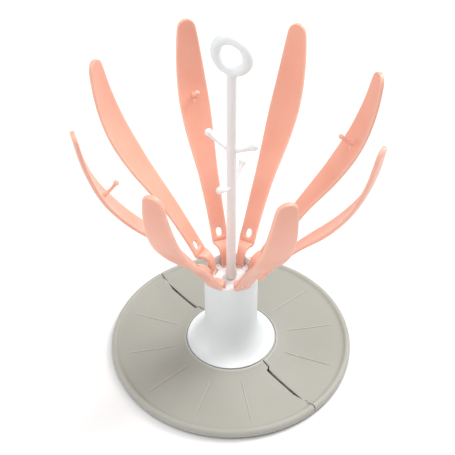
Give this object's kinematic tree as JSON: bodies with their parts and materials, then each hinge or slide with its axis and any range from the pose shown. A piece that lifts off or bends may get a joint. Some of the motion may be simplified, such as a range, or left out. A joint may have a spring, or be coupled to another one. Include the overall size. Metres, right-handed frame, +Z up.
{
  "type": "bottle drying rack",
  "caption": "Flower-shaped drying rack: curved swinging petals on a flared column, a carrying stem with small pegs and a ring, and a round ribbed base that folds in half.",
  "frame": {"origin": "on the standing surface, at the centre of the round base", "axes": "+Z up along the column and stem, +X along the seam of the base, +Y towards the half of the base that folds"},
  "size_m": [0.2488, 0.2488, 0.3526],
  "materials": {
    "petal_plastic": "satin moulded coral plastic",
    "base_plastic": "fine-textured matte warm grey plastic",
    "white_plastic": "smooth satin white plastic",
    "stem_plastic": "smooth satin white plastic",
    "foot_rubber": "matte non-slip rubber",
    "steel": "plain stainless steel"
  },
  "bodies": {
    "stand": {"base_front": "base_plastic", "feet_front": "foot_rubber", "base_hinge_pins": "steel", "column": "white_plastic", "column_screws": "steel", "hub_crown": "white_plastic", "crown_screws": "steel", "stem_socket": "white_plastic", "petal_pins": "steel"},
    "folding_half": {"base_back": "base_plastic", "feet_back": "foot_rubber"},
    "lift_out_stem": {"stem": "stem_plastic"},
    "swing_petal_1": {"petal_1": "petal_plastic"},
    "swing_petal_2": {"petal_2": "petal_plastic"},
    "swing_petal_3": {"petal_3": "petal_plastic"},
    "swing_petal_4": {"petal_4": "petal_plastic"},
    "swing_petal_5": {"petal_5": "petal_plastic"},
    "swing_petal_6": {"petal_6": "petal_plastic"},
    "swing_petal_7": {"petal_7": "petal_plastic"},
    "swing_petal_8": {"petal_8": "petal_plastic"}
  },
  "joints": [
    {"name": "base_fold", "type": "hinge", "parent": "stand", "child": "folding_half", "pos_m": [0, 0, 0.0022], "axis": [-1, 0, 0], "range_deg": [0, 172]},
    {"name": "stem_lift", "type": "slide", "parent": "stand", "child": "lift_out_stem", "axis": [0, 0, 1], "range_m": [0, 0.03]},
    {"name": "petal_1_swing", "type": "hinge", "parent": "stand", "child": "swing_petal_1", "pos_m": [-0.01755, 0.00727, 0.0885], "axis": [0.3827, 0.9239, 0], "range_deg": [0, 22]},
    {"name": "petal_2_swing", "type": "hinge", "parent": "stand", "child": "swing_petal_2", "pos_m": [-0.00727, 0.01755, 0.0885], "axis": [0.9239, 0.3827, 0], "range_deg": [0, 22]},
    {"name": "petal_3_swing", "type": "hinge", "parent": "stand", "child": "swing_petal_3", "pos_m": [0.00727, 0.01755, 0.0885], "axis": [0.9239, -0.3827, 0], "range_deg": [0, 22]},
    {"name": "petal_4_swing", "type": "hinge", "parent": "stand", "child": "swing_petal_4", "pos_m": [0.01755, 0.00727, 0.0885], "axis": [0.3827, -0.9239, 0], "range_deg": [0, 22]},
    {"name": "petal_5_swing", "type": "hinge", "parent": "stand", "child": "swing_petal_5", "pos_m": [0.01755, -0.00727, 0.0885], "axis": [-0.3827, -0.9239, 0], "range_deg": [0, 22]},
    {"name": "petal_6_swing", "type": "hinge", "parent": "stand", "child": "swing_petal_6", "pos_m": [0.00727, -0.01755, 0.0885], "axis": [-0.9239, -0.3827, 0], "range_deg": [0, 22]},
    {"name": "petal_7_swing", "type": "hinge", "parent": "stand", "child": "swing_petal_7", "pos_m": [-0.00727, -0.01755, 0.0885], "axis": [-0.9239, 0.3827, 0], "range_deg": [0, 22]},
    {"name": "petal_8_swing", "type": "hinge", "parent": "stand", "child": "swing_petal_8", "pos_m": [-0.01755, -0.00727, 0.0885], "axis": [-0.3827, 0.9239, 0], "range_deg": [0, 22]}
  ]
}
